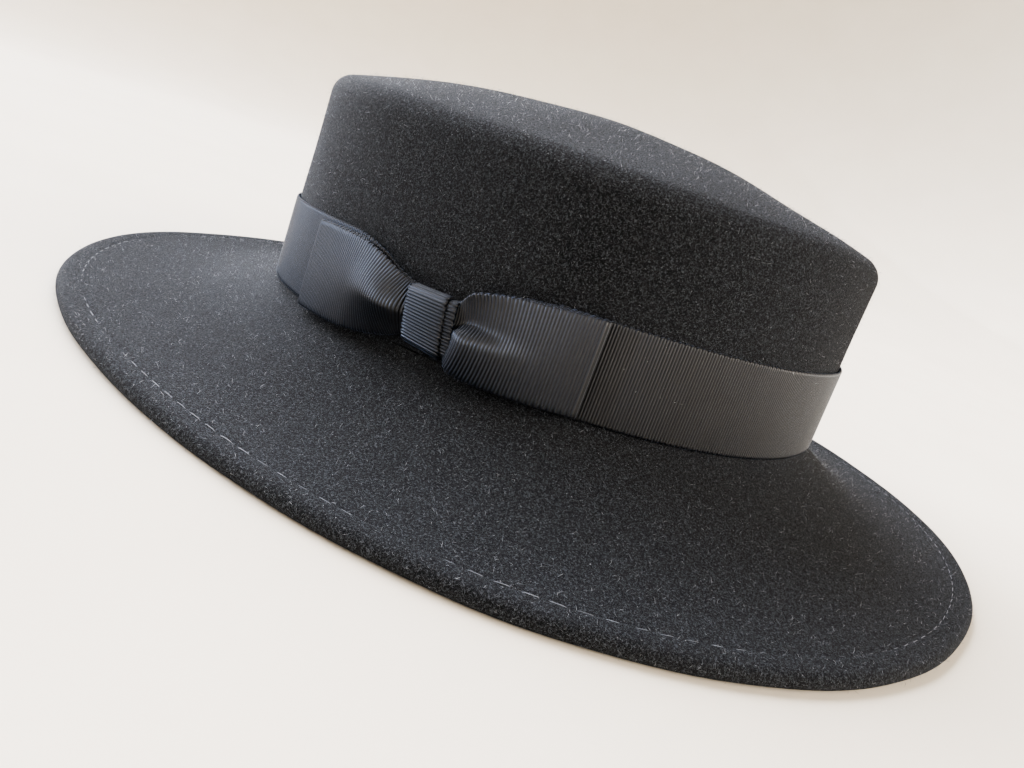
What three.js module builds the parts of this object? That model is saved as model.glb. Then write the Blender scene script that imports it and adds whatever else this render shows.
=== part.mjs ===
// Black wool felt hat with a flat crown, a sloping brim, a grosgrain ribbon band and a flat bow.
// Millimetres, +Z up. The hat rests on its rim at z = 0, with its front towards -Y and the
// wearer's left towards +X. Angles run round the hat from the front (0) over the left (90 degrees).
import * as THREE from 'three';

// Crown: an oval felt shell, open below.
const crownHalfLength = 97; // centre to the outer face of the felt at the foot, front to back
const crownHalfWidth = 86; // the same, side to side
const crownSquareness = 2.1; // exponent of the oval, where 2 is an ellipse
const crownLean = 1.6; // how far the wall leans in between foot and shoulder
const shoulderHeight = 66; // shoulder plane above the middle of the foot line
const shoulderRadius = 7.2;
const domeRise = 14.3; // middle of the flat top above the shoulder plane
const domePower = 1.83;
const feltThickness = 2;

// Foot line, where crown and brim meet: lower at the front than at the back.
const footLevel = 17.8; // middle of the foot line above the surface that the rim rests on
const footFrontDip = 5.1;
const footEndDip = 0.6; // dip at both ends against the sides

// Brim: falls from the foot and flattens towards a rim that is folded under and stitched.
const brimWidth = 60.4; // crown to rim, on average
const brimCornerFullness = 1.4; // more at the four corners of the outline, and less between them
const brimFallPower = 2.4; // how fast the fall flattens out
const breakRadius = 2; // bend of the felt between wall and brim
const collarHeight = 3; // upright strip of the brim felt that the crown stands on
const rimThickness = 4.4; // two layers of felt
const hemWidth = 7.5; // flat underside of the folded layer
const hemStep = 0.3; // slant of the folded layer's cut edge

// Grosgrain ribbon: band round the crown and bow on the wearer's left.
const ribbonWidth = 25;
const ribbonThickness = 1;
const ribbonLift = 2.2; // lower edge of the band above the foot line
const seatGap = 0.3; // clearance between pieces that lie on each other
const bowAngle = THREE.MathUtils.degToRad(102.7); // middle of the knot
const knotFront = -5.2; // ends of the knot along the band, from the middle of the bow
const knotBack = 8;
const knotSkew = 2.6; // how far its lower edge lies further back than its upper one
const knotLow = 3.1; // outer edges of the knot above the band's lower edge
const knotHigh = 18.8;
const knotCorner = 1.6; // outside radius where the knot turns towards the crown
const knotEase = 0.9; // room between the knot and the loops under it

// The knot gathers the band together with the loops. One row for each section of the gather, from
// the front to the back: distance from the middle of the bow, and the band's lower and upper edge.
const gatherRows = [
  [-32, 0, ribbonWidth],
  [-26, 0.8, 24],
  [-19, 2, 22],
  [-13, 4.2, 18.8],
  [-7, 6.6, 17.4],
  [0, 6.8, 17],
  [8.4, 5.6, 17],
  [11, 5, 19],
  [17, 1.8, 22],
  [26, 1, 23.6],
  [32, 0, ribbonWidth],
];

// One row for each section of a bow loop, from the knot out to the fold. reach: distance from the
// middle of the bow. low, high: edges of the ribbon above the band's lower edge. puff: how far the
// front layer stands off the back layer. ridge: height of the crease that runs out of the knot.
const loopColumns = ['reach', 'low', 'high', 'puff', 'ridge'];
const frontLoopRows = [
  [2.0, 6.0, 17.2, 0.3, 0.0],
  [5.8, 5.6, 17.4, 0.3, 0.2],
  [8.0, 4.6, 18.2, 1.2, 1.6],
  [12.0, 3.2, 19.6, 2.0, 1.9],
  [18.0, 1.4, 22.4, 2.6, 0.9],
  [25.0, 0.2, 24.2, 2.6, 0.2],
  [34.0, -0.3, 24.1, 1.8, 0.0],
  [46.6, -0.8, 23.6, 0.8, 0.0],
];
const backLoopRows = [
  [2.0, 4.8, 17.2, 0.3, 0.0],
  [8.4, 4.6, 17.4, 0.3, 0.2],
  [10.9, 4.4, 20.0, 0.5, 0.3],
  [13.0, 2.2, 21.6, 2.0, 2.0],
  [18.0, 1.0, 23.0, 2.6, 1.4],
  [25.0, 0.6, 24.3, 2.4, 0.4],
  [33.0, 0.6, 24.9, 1.6, 0.1],
  [43.0, 0.8, 25.4, 0.8, 0.0],
];
const loopStepsPerRow = 2;
const loopPointsAcross = 7;
const creasePlace = 0.45; // crease across the ribbon, as a share of its width
const creaseSpread = 0.16;
const bellyShare = 0.5; // roundness of the front layer across its width, as a share of its puff

const segments = 72; // facets round the hat
const arcStepsFull = 1440; // steps of the arc length sum

// Point of the crown's oval, moved out along its normal.
function ovalPoint(angle, out) {
  const sin = Math.sin(angle);
  const cos = Math.cos(angle);
  const n = crownSquareness;
  const reach = (Math.abs(sin) ** n + Math.abs(cos) ** n) ** (-1 / n);
  const x = crownHalfWidth * reach * sin;
  const y = -crownHalfLength * reach * cos;
  const normalX = (Math.sign(x) * Math.abs(x / crownHalfWidth) ** (n - 1)) / crownHalfWidth;
  const normalY = (Math.sign(y) * Math.abs(y / crownHalfLength) ** (n - 1)) / crownHalfLength;
  const length = Math.hypot(normalX, normalY);
  return new THREE.Vector2(x + (out * normalX) / length, y + (out * normalY) / length);
}

// Height of the foot line at an angle.
function footHeight(angle) {
  return footLevel - footFrontDip * Math.cos(angle) - footEndDip * Math.cos(2 * angle);
}

// How far the crown's wall has leaned in at a height.
function wallLean(angle, z) {
  const foot = footHeight(angle);
  const share = (z - foot) / (footLevel + shoulderHeight - shoulderRadius - foot);
  return crownLean * THREE.MathUtils.clamp(share, 0, 1);
}

// A ring round the hat: place(angle) gives how far out and how high it runs.
function hatRing(place) {
  const ring = [];
  for (let i = 0; i < segments; i += 1) {
    const angle = (2 * Math.PI * i) / segments;
    const { out, z, scale = 1 } = place(angle);
    const point = ovalPoint(angle, out).multiplyScalar(scale);
    ring.push(new THREE.Vector3(point.x, point.y, z));
  }
  return ring;
}

// Closed surface through rings of equal length. Either the last ring joins the first, or fans
// close both ends onto the two poles, or each end ring is the section of a ribbon, one face up
// and the other face back, and is closed between its two faces.
function loft(rings, { closed = false, poles = null, flip = false } = {}) {
  const count = rings[0].length;
  const points = rings.flat();
  const triangles = [];
  const bands = closed ? rings.length : rings.length - 1;
  for (let row = 0; row < bands; row += 1) {
    const here = row * count;
    const next = ((row + 1) % rings.length) * count;
    for (let i = 0; i < count; i += 1) {
      const j = (i + 1) % count;
      triangles.push([here + i, here + j, next + j], [here + i, next + j, next + i]);
    }
  }
  const last = (rings.length - 1) * count;
  if (poles) {
    const [firstPole, lastPole] = [points.length, points.length + 1];
    points.push(...poles);
    for (let i = 0; i < count; i += 1) {
      const j = (i + 1) % count;
      triangles.push([firstPole, j, i], [lastPole, last + i, last + j]);
    }
  } else if (!closed) {
    for (let i = 0; i < count / 2 - 1; i += 1) {
      const [near, far] = [i + 1, count - 1 - i];
      triangles.push([near, i, far], [near, far, far - 1]);
      triangles.push([last + i, last + near, last + far], [last + far, last + near, last + far - 1]);
    }
  }
  const geometry = new THREE.BufferGeometry().setFromPoints(points);
  geometry.setIndex(triangles.flatMap(([a, b, c]) => (flip ? [a, c, b] : [a, b, c])));
  geometry.computeVertexNormals();
  return geometry;
}

// Crown: rings from the middle of the top over the shoulder and down the wall, then back up
// inside. depth is the distance from the outer face of the felt.
function crownGeometry() {
  const domeSlope = (domePower * domeRise) / (crownHalfWidth - crownLean - shoulderRadius);
  const shoulderSweep = Math.PI / 2 - Math.atan(domeSlope);
  const shoulderBase = footLevel + shoulderHeight - shoulderRadius;
  const domeShares = [0.2, 0.4, 0.6, 0.8, 0.93];
  const shoulderSteps = 4;
  const wallSteps = 2;

  const face = (depth) => {
    const radius = shoulderRadius - depth;
    const shoulderPoint = (sweep) => ({
      out: radius * Math.cos(sweep) - shoulderRadius - crownLean,
      z: shoulderBase + radius * Math.sin(sweep),
    });
    const domeEdge = shoulderPoint(shoulderSweep);
    const rings = domeShares.map((share) => hatRing(() => ({
      out: domeEdge.out,
      z: domeEdge.z + domeRise * (1 - share ** domePower),
      scale: share,
    })));
    for (let step = 0; step <= shoulderSteps; step += 1) {
      rings.push(hatRing(() => shoulderPoint(shoulderSweep * (1 - step / shoulderSteps))));
    }
    for (let step = 1; step <= wallSteps; step += 1) {
      rings.push(hatRing((angle) => {
        const bottom = footHeight(angle) + collarHeight + seatGap;
        const z = THREE.MathUtils.lerp(shoulderBase, bottom, step / wallSteps);
        return { out: -wallLean(angle, z) - depth, z };
      }));
    }
    const middle = new THREE.Vector3(0, 0, domeEdge.z + domeRise);
    return { rings, middle };
  };

  const outer = face(0);
  const inner = face(feltThickness);
  const rings = [...outer.rings, ...inner.rings.reverse()];
  return loft(rings, { poles: [outer.middle, inner.middle], flip: true });
}

// Width of the brim at an angle.
function brimWidthAt(angle) {
  return brimWidth - brimCornerFullness * Math.cos(4 * angle);
}

// Brim section at an angle: upper face from the collar to the rim, round the folded edge, along
// the hem's flat underside and back to the collar. x is the distance out from the crown's oval.
function brimSection(angle) {
  const rimRadius = rimThickness / 2;
  const width = brimWidthAt(angle);
  const fallLength = width - rimRadius;
  const fall = footHeight(angle) - rimThickness;
  const slope = (x) => rimThickness + fall * (1 - x / fallLength) ** brimFallPower;
  const bendSteps = 3;
  const fallShares = [0.12, 0.22, 0.34, 0.48, 0.64, 0.8];
  const rimSteps = 4;

  const upper = [];
  for (let step = 0; step <= bendSteps; step += 1) {
    const turn = (Math.PI / 2) * (step / bendSteps);
    const x = breakRadius * (1 - Math.cos(turn));
    upper.push(new THREE.Vector2(x, slope(x) + breakRadius * (1 - Math.sin(turn))));
  }
  const hemEdge = width - hemWidth - hemStep;
  for (const x of [...fallShares.map((share) => share * fallLength), hemEdge]) {
    upper.push(new THREE.Vector2(x, slope(x)));
  }

  const collarTop = footHeight(angle) + collarHeight;
  const lower = upper.map((point, i) => {
    const before = upper[Math.max(i - 1, 0)];
    const after = upper[Math.min(i + 1, upper.length - 1)];
    const along = after.clone().sub(before).normalize();
    const offset = i === 0 ? new THREE.Vector2(-1, 0) : new THREE.Vector2(along.y, -along.x);
    return point.clone().addScaledVector(offset, feltThickness);
  });

  const rim = [];
  for (let step = 0; step <= rimSteps; step += 1) {
    const turn = Math.PI * (0.5 - step / rimSteps);
    rim.push(new THREE.Vector2(fallLength + rimRadius * Math.cos(turn), rimRadius * (1 + Math.sin(turn))));
  }
  rim.push(new THREE.Vector2(width - hemWidth, 0));
  return [
    new THREE.Vector2(0, collarTop),
    ...upper,
    ...rim,
    ...lower.reverse(),
    new THREE.Vector2(-feltThickness, collarTop),
  ];
}

function brimGeometry() {
  const sectionLength = brimSection(0).length;
  const rings = [];
  for (let i = 0; i < sectionLength; i += 1) {
    rings.push(hatRing((angle) => {
      const point = brimSection(angle)[i];
      return { out: point.x, z: point.y };
    }));
  }
  return loft(rings, { closed: true, flip: true });
}

// Height of the band's lower edge at an angle.
function bandBottom(angle) {
  return footHeight(angle) + ribbonLift;
}

// Sections of the band: even round the hat at full width, and the rows of the gather at the bow.
function bandSections() {
  const gather = gatherRows.map(([distance, low, high]) => ({ angle: bowAngleAt(distance), low, high }));
  const [first, last] = [gather[0].angle, gather[gather.length - 1].angle];
  const even = [];
  for (let i = 0; i < segments; i += 1) {
    const angle = (2 * Math.PI * i) / segments;
    if (angle < first || angle > last) even.push({ angle, low: 0, high: ribbonWidth });
  }
  return [...even, ...gather].sort((a, b) => a.angle - b.angle);
}

function bandGeometry() {
  const sections = bandSections();
  const corners = [
    [seatGap, 'high'],
    [seatGap + ribbonThickness, 'high'],
    [seatGap + ribbonThickness, 'low'],
    [seatGap, 'low'],
  ];
  const rings = corners.map(([out, edge]) => sections.map((section) => {
    const z = bandBottom(section.angle) + section[edge];
    const point = ovalPoint(section.angle, out - wallLean(section.angle, z));
    return new THREE.Vector3(point.x, point.y, z);
  }));
  return loft(rings, { closed: true, flip: true });
}

// Angle at a distance along the foot of the crown, measured from the middle of the bow.
function bowAngleAt(distance) {
  const step = ((2 * Math.PI) / arcStepsFull) * (distance < 0 ? -1 : 1);
  let angle = bowAngle;
  let left = Math.abs(distance);
  let stride = ovalPoint(angle, 0).distanceTo(ovalPoint(angle + step, 0));
  while (stride < left) {
    angle += step;
    left -= stride;
    stride = ovalPoint(angle, 0).distanceTo(ovalPoint(angle + step, 0));
  }
  return angle + step * (left / stride);
}

// Point of the bow: distance along the band, height above its lower edge, distance off the wall.
function bowPoint(distance, height, out) {
  const angle = bowAngleAt(distance);
  const z = bandBottom(angle) + height;
  const point = ovalPoint(angle, out - wallLean(angle, z));
  return new THREE.Vector3(point.x, point.y, z);
}

// Row of a loop's table at a reach, on a straight line between its neighbours.
function loopSectionAt(rows, reach) {
  const next = Math.max(1, rows.findIndex((row) => row[0] >= reach));
  const [before, after] = [rows[next - 1], rows[next]];
  const share = THREE.MathUtils.clamp((reach - before[0]) / (after[0] - before[0]), 0, 1);
  const values = before.map((value, i) => THREE.MathUtils.lerp(value, after[i], share));
  return Object.fromEntries(loopColumns.map((name, i) => [name, values[i]]));
}

// One half of the bow: a ribbon that runs out along the band, turns back on itself at the fold
// and returns to the knot in front. side is -1 towards the front of the hat, 1 towards the back.
function bowLoopGeometry(rows, side) {
  const backFace = seatGap + ribbonThickness + seatGap;
  const frontFace = backFace + ribbonThickness + seatGap;
  const foldReach = rows[rows.length - 1][0];
  const foldSteps = 3;

  const stations = [];
  rows.slice(0, -1).forEach((row, i) => {
    for (let step = 0; step < loopStepsPerRow; step += 1) {
      stations.push(THREE.MathUtils.lerp(row[0], rows[i + 1][0], step / loopStepsPerRow));
    }
  });

  // Inner and outer face of the ribbon across its width, at a place along its run.
  const ringAt = (reach, inner, outer, bulge) => {
    const section = loopSectionAt(rows, reach);
    const across = [];
    for (let i = 0; i < loopPointsAcross; i += 1) {
      const share = i / (loopPointsAcross - 1);
      const height = THREE.MathUtils.lerp(section.low, section.high, share);
      const crease = section.ridge * Math.exp(-(((share - creasePlace) / creaseSpread) ** 2));
      const belly = bellyShare * section.puff * Math.sin(Math.PI * share);
      across.push({ height, lift: bulge * (crease + belly) });
    }
    const place = ({ height, lift }, face) => bowPoint(side * face.reach, height, face.out + lift);
    return [
      ...across.map((point) => place(point, outer)),
      ...across.reverse().map((point) => place(point, inner)),
    ];
  };

  const rings = stations.map((reach) => ringAt(
    reach,
    { reach, out: backFace + ribbonThickness },
    { reach, out: backFace },
    0,
  ));
  const foldPuff = loopSectionAt(rows, foldReach).puff;
  const foldOut = (backFace + frontFace + ribbonThickness + foldPuff) / 2;
  const foldRadius = foldOut - backFace;
  for (let step = 0; step <= foldSteps; step += 1) {
    const turn = Math.PI * (step / foldSteps - 0.5);
    const turned = (radius) => ({
      reach: foldReach + radius * Math.cos(turn),
      out: foldOut + radius * Math.sin(turn),
    });
    rings.push(ringAt(foldReach, turned(foldRadius - ribbonThickness), turned(foldRadius), 0));
  }
  stations.reverse().forEach((reach) => {
    const { puff } = loopSectionAt(rows, reach);
    rings.push(ringAt(
      reach,
      { reach, out: frontFace + puff },
      { reach, out: frontFace + puff + ribbonThickness },
      1,
    ));
  });
  return loft(rings, { flip: side < 0 });
}

// Knot: a short wrap of ribbon over the middle of the bow, its ends tucked in against the band.
function knotGeometry() {
  const backFace = seatGap + ribbonThickness + seatGap;
  const frontFace = backFace + 2 * (ribbonThickness + seatGap) + knotEase + ribbonThickness;
  const cornerSteps = 3;
  const lengthSteps = 6;

  // The wrap's section, in height and distance off the wall, at a depth below its outer face.
  const path = (depth) => {
    const radius = knotCorner - depth;
    const points = [[knotHigh - depth, backFace]];
    for (let step = 0; step <= cornerSteps; step += 1) {
      const turn = (Math.PI / 2) * (step / cornerSteps);
      points.push([
        knotHigh - knotCorner + radius * Math.cos(turn),
        frontFace - knotCorner + radius * Math.sin(turn),
      ]);
    }
    const mirrored = points.map(([height, out]) => [knotLow + knotHigh - height, out]).reverse();
    return [...points, ...mirrored];
  };
  const section = [...path(0), ...path(ribbonThickness).reverse()];

  const rings = [];
  for (let step = 0; step <= lengthSteps; step += 1) {
    const distance = THREE.MathUtils.lerp(knotFront, knotBack, step / lengthSteps);
    rings.push(section.map(([height, out]) => {
      const skew = (knotSkew * (knotHigh - height)) / (knotHigh - knotLow);
      return bowPoint(distance + skew, height, out);
    }));
  }
  return loft(rings);
}

const woolFelt = new THREE.MeshStandardMaterial({ color: 0x16181d, roughness: 0.95, metalness: 0 });
const grosgrain = new THREE.MeshStandardMaterial({ color: 0x1b1d22, roughness: 0.55, metalness: 0 });

const hat = new THREE.Group();
const pieces = [
  ['crown', crownGeometry(), woolFelt],
  ['brim', brimGeometry(), woolFelt],
  ['ribbon_band', bandGeometry(), grosgrain],
  ['bow_loop_front', bowLoopGeometry(frontLoopRows, -1), grosgrain],
  ['bow_loop_back', bowLoopGeometry(backLoopRows, 1), grosgrain],
  ['bow_knot', knotGeometry(), grosgrain],
];
for (const [name, geometry, material] of pieces) {
  const mesh = new THREE.Mesh(geometry, material.clone());
  mesh.name = name;
  hat.add(mesh);
}

export default hat;
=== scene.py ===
"""Looks of the flat-crowned black felt hat with a grosgrain band and a flat bow."""

import bpy
import numpy as np
from mathutils import Matrix


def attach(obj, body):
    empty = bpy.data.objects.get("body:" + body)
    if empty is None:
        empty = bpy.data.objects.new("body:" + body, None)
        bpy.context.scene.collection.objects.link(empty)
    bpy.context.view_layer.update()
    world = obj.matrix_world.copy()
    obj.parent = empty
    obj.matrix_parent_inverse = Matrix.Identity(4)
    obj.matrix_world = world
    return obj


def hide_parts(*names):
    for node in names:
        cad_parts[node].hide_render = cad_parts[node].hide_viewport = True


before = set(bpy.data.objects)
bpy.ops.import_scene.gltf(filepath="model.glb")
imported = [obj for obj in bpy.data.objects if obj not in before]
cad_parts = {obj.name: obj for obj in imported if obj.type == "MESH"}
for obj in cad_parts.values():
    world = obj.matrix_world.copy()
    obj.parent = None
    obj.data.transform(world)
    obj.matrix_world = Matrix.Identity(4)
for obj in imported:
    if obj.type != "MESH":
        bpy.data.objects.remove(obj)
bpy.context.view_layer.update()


# Crown. A hood of black wool felt, steamed and pulled over a flat-topped oval block, then brushed.
# One skin makes the upright side, the round shoulder and the slightly domed top, and its cut foot
# stands on the brim's collar. All lengths are in millimetres, and angles run from the hat's front.
crown_half_length = 97.0
crown_half_width = 86.0
oval_squareness = 2.1
wall_lean = 1.6
shoulder_base = 76.6
shoulder_radius = 7.2
dome_rise = 14.3
dome_power = 1.83
felt_thickness = 2.0
foot_level = 17.8
foot_front_dip = 5.1
foot_end_dip = 0.6
collar_height = 3.0
seat_gap = 0.02
cut_edge_round = 0.06
crown_columns = 260
wall_rows = 34
shoulder_rows = 14
top_rows = 34
top_first_share = 0.02
crown_out_of_true = 0.28
crown_blocking_seed = 11
blocking_waves = (34.0, 47.0, 63.0, 85.0)
blocking_wave_share = 0.5
millimetre = 0.001


def oval(angle, out):
    """Points of the crown's oval, moved out along its normal."""
    sine = np.sin(angle)
    cosine = np.cos(angle)
    power = oval_squareness
    reach = (np.abs(sine) ** power + np.abs(cosine) ** power) ** (-1 / power)
    x = crown_half_width * reach * sine
    y = -crown_half_length * reach * cosine
    normal_x = np.sign(x) * np.abs(x / crown_half_width) ** (power - 1) / crown_half_width
    normal_y = np.sign(y) * np.abs(y / crown_half_length) ** (power - 1) / crown_half_length
    length = np.hypot(normal_x, normal_y)
    return x + out * normal_x / length, y + out * normal_y / length


def foot_height(angle):
    """Height of the line where crown and brim meet."""
    return foot_level - foot_front_dip * np.cos(angle) - foot_end_dip * np.cos(2 * angle)


def lean_at(angle, height):
    """How far the crown's wall has leaned in at a height."""
    foot = foot_height(angle)
    return wall_lean * np.clip((height - foot) / (shoulder_base - foot), 0, 1)


def hat_rings(angles, sections, scales=None):
    """Rings round the hat from (out, height) pairs, as an array of rows, columns and x, y, z."""
    rings = []
    for index, (out, height) in enumerate(sections):
        x, y = oval(angles, out)
        scale = 1.0 if scales is None else scales[index]
        rings.append(np.stack([scale * x, scale * y, height + 0 * angles], axis=-1))
    return np.array(rings)


def hand_blocked(points, size, seed):
    """Moves felt a little out of true, in waves some centimetres long, as blocking by hand does."""
    draw = np.random.default_rng(seed)
    moved = points.copy()
    for wave_length in blocking_waves:
        for axis in range(3):
            heading = draw.normal(size=3)
            heading *= 2 * np.pi / wave_length / np.linalg.norm(heading)
            phase = draw.uniform(0, 2 * np.pi)
            moved[..., axis] += size * blocking_wave_share * np.sin(points @ heading + phase)
    return moved


def loft_faces(rows, columns, rows_close=False):
    """Quads between the rows of a grid of points, whose columns close into rings."""
    row = np.arange(rows if rows_close else rows - 1)[:, None]
    column = np.arange(columns)[None, :]
    here = row * columns
    above = (row + 1) % rows * columns
    beside = (column + 1) % columns
    corners = [here + column, here + beside, above + beside, above + column]
    return np.stack(corners, axis=-1).reshape(-1, 4).tolist()


def make_piece(name, points, faces, material, slot):
    """Makes a smooth mesh from points in millimetres and hangs it on the hat."""
    mesh = bpy.data.meshes.new(name)
    mesh.from_pydata((np.asarray(points).reshape(-1, 3) * millimetre).tolist(), [], faces)
    mesh.shade_smooth()
    mesh.materials.append(material)
    piece = bpy.data.objects.new(name, mesh)
    bpy.context.scene.collection.objects.link(piece)
    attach(piece, "root")
    return piece


def linear(hex_colour):
    """Linear colour with full opacity from an sRGB hex value."""
    channels = np.array([int(hex_colour[place:place + 2], 16) for place in (1, 3, 5)]) / 255
    dark = channels / 12.92
    bright = ((channels + 0.055) / 1.055) ** 2.4
    return (*np.where(channels <= 0.04045, dark, bright), 1.0)


def add_node(tree, kind, values=None, links=None, **settings):
    """Adds a node with its settings, its socket values and its links."""
    node = tree.nodes.new(kind)
    for name, value in settings.items():
        setattr(node, name, value)
    for socket, value in (values or {}).items():
        node.inputs[socket].default_value = value
    for socket, source in (links or {}).items():
        tree.links.new(source, node.inputs[socket])
    return node


def empty_material(name):
    """A material with no nodes yet."""
    material = bpy.data.materials.new(name)
    material.use_nodes = True
    material.node_tree.nodes.clear()
    return material


# Wool felt: fine wool matted by steam and pressure and dyed black. It gives the eye no gloss, a
# speckle of paler fibres that curl every way, cloudy patches and a cool bloom where light grazes.
# Real fibres are 0.03 mm thick, too fine to show here, so the pattern draws them coarser.
felt_black = linear("#020304")
felt_grey = linear("#17181a")
felt_fibre_pale = linear("#62666c")
felt_patch_size = 14.0
felt_grain_size = 0.13
fibre_curl_sizes = (0.6, 0.4)
fibre_breaks_per_curl = 0.9
fibre_line_share = 0.04
felt_relief = 0.36

wool_felt = empty_material("wool_felt")
tree = wool_felt.node_tree
place = add_node(tree, "ShaderNodeTexCoord").outputs["Object"]
fibres = None
for curl_size in fibre_curl_sizes:
    curl = add_node(
        tree, "ShaderNodeTexNoise", links={"Vector": place},
        values={"Scale": 1 / (curl_size * millimetre), "Detail": 1.0, "Distortion": 0.6}).outputs["Fac"]
    off_line = add_node(tree, "ShaderNodeMath", operation="SUBTRACT", values={1: 0.5},
                        links={0: curl}).outputs[0]
    off_line = add_node(tree, "ShaderNodeMath", operation="ABSOLUTE", links={0: off_line}).outputs[0]
    line = add_node(
        tree, "ShaderNodeMapRange", links={"Value": off_line},
        values={"From Min": 0.0, "From Max": fibre_line_share, "To Min": 1.0, "To Max": 0.0})
    breaks = add_node(
        tree, "ShaderNodeTexNoise", links={"Vector": place},
        values={"Scale": fibre_breaks_per_curl / (curl_size * millimetre), "Detail": 0.0}).outputs["Fac"]
    kept = add_node(
        tree, "ShaderNodeMapRange", links={"Value": breaks},
        values={"From Min": 0.40, "From Max": 0.60, "To Min": 0.0, "To Max": 1.0})
    fibre = add_node(tree, "ShaderNodeMath", operation="MULTIPLY",
                     links={0: line.outputs["Result"], 1: kept.outputs["Result"]}).outputs[0]
    if fibres is None:
        fibres = fibre
    else:
        fibres = add_node(tree, "ShaderNodeMath", operation="MAXIMUM",
                          links={0: fibres, 1: fibre}).outputs[0]
grain = add_node(
    tree, "ShaderNodeTexNoise", links={"Vector": place},
    values={"Scale": 1 / (felt_grain_size * millimetre), "Detail": 1.0, "Roughness": 0.6}).outputs["Fac"]
grain_share = add_node(
    tree, "ShaderNodeMapRange", links={"Value": grain},
    values={"From Min": 0.42, "From Max": 0.62, "To Min": 0.0, "To Max": 1.0}).outputs["Result"]
patches = add_node(
    tree, "ShaderNodeTexNoise", links={"Vector": place},
    values={"Scale": 1 / (felt_patch_size * millimetre), "Detail": 3.0, "Roughness": 0.6}).outputs["Fac"]
patch_share = add_node(
    tree, "ShaderNodeMapRange", links={"Value": patches},
    values={"From Min": 0.3, "From Max": 0.7, "To Min": 0.75, "To Max": 1.0}).outputs["Result"]
grain_share = add_node(tree, "ShaderNodeMath", operation="MULTIPLY",
                       links={0: grain_share, 1: patch_share}).outputs[0]
ground_colour = add_node(
    tree, "ShaderNodeMix", data_type="RGBA", links={0: grain_share},
    values={6: felt_black, 7: felt_grey}).outputs[2]
felt_colour = add_node(
    tree, "ShaderNodeMix", data_type="RGBA", links={0: fibres, 6: ground_colour},
    values={7: felt_fibre_pale}).outputs[2]
relief = add_node(tree, "ShaderNodeMath", operation="ADD",
                  links={0: fibres, 1: grain_share}).outputs[0]
felt_bump = add_node(
    tree, "ShaderNodeBump", links={"Height": relief},
    values={"Strength": 1.0, "Distance": felt_relief * millimetre}).outputs["Normal"]
felt_surface = add_node(
    tree, "ShaderNodeBsdfPrincipled", links={"Base Color": felt_colour, "Normal": felt_bump},
    values={"Roughness": 0.95, "IOR": 1.54, "Specular IOR Level": 0.15, "Sheen Weight": 0.12,
            "Sheen Roughness": 0.3, "Sheen Tint": linear("#d2dae8")})
add_node(tree, "ShaderNodeOutputMaterial", links={"Surface": felt_surface.outputs["BSDF"]})

# Wool fibres that stand or lie loose on the felt. Each has its own grey, from near black to pale.
fibre_dark = linear("#1a1b1d")
fibre_pale = linear("#cacdd1")
fibre_pale_rarity = 2.2

wool_fibre = empty_material("wool_fibre")
tree = wool_fibre.node_tree
fibre_draw = add_node(tree, "ShaderNodeNewGeometry").outputs["Random Per Island"]
pale_share = add_node(tree, "ShaderNodeMath", operation="POWER", values={1: fibre_pale_rarity},
                      links={0: fibre_draw}).outputs[0]
fibre_colour = add_node(
    tree, "ShaderNodeMix", data_type="RGBA", links={0: pale_share},
    values={6: fibre_dark, 7: fibre_pale}).outputs[2]
fibre_surface = add_node(
    tree, "ShaderNodeBsdfPrincipled", links={"Base Color": fibre_colour},
    values={"Roughness": 0.6, "IOR": 1.55, "Sheen Weight": 0.3, "Sheen Roughness": 0.4,
            "Sheen Tint": linear("#b9cbe4")})
add_node(tree, "ShaderNodeOutputMaterial", links={"Surface": fibre_surface.outputs["BSDF"]})


def crown_face(depth, angles):
    """Rings of one face of the crown's felt, from the foot to the middle of the top."""
    radius = shoulder_radius - depth
    foot = foot_height(angles) + collar_height + seat_gap
    dome_slope = dome_power * dome_rise / (crown_half_width - wall_lean - shoulder_radius)
    sections = []
    scales = []
    for share in np.linspace(0, 1, wall_rows):
        height = foot + cut_edge_round + share * (shoulder_base - foot - cut_edge_round)
        sections.append((-lean_at(angles, height) - depth, height))
        scales.append(1.0)
    for sweep in np.linspace(0, np.pi / 2 - np.arctan(dome_slope), shoulder_rows)[1:]:
        out = radius * np.cos(sweep) - shoulder_radius - wall_lean
        height = shoulder_base + radius * np.sin(sweep)
        sections.append((out, height))
        scales.append(1.0)
    edge_out, edge_height = sections[-1]
    for share in np.linspace(1, top_first_share, top_rows)[1:]:
        sections.append((edge_out, edge_height + dome_rise * (1 - share ** dome_power)))
        scales.append(share)
    middle = np.array([0, 0, edge_height + dome_rise])
    return hat_rings(angles, sections, scales), middle


crown_angles = np.linspace(0, 2 * np.pi, crown_columns, endpoint=False)
outer_rings, outer_middle = crown_face(0.0, crown_angles)
inner_rings, inner_middle = crown_face(felt_thickness, crown_angles)
cut_foot = foot_height(crown_angles) + collar_height + seat_gap
cut_edge = hat_rings(crown_angles, [
    (cut_edge_round - felt_thickness, cut_foot),
    (-cut_edge_round, cut_foot),
])
crown_rings = np.concatenate([inner_rings[::-1], cut_edge, outer_rings])
crown_rows = len(crown_rings)
crown_points = np.concatenate([crown_rings.reshape(-1, 3), [inner_middle, outer_middle]])
crown_points = hand_blocked(crown_points, crown_out_of_true, crown_blocking_seed)
crown_faces = loft_faces(crown_rows, crown_columns)
inner_pole = crown_rows * crown_columns
last_ring = (crown_rows - 1) * crown_columns
for column in range(crown_columns):
    beside = (column + 1) % crown_columns
    crown_faces.append([inner_pole, beside, column])
    crown_faces.append([inner_pole + 1, last_ring + column, last_ring + beside])
crown_felt = make_piece("crown_felt", crown_points, crown_faces, wool_felt, "wool_felt")
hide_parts("crown")


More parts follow.
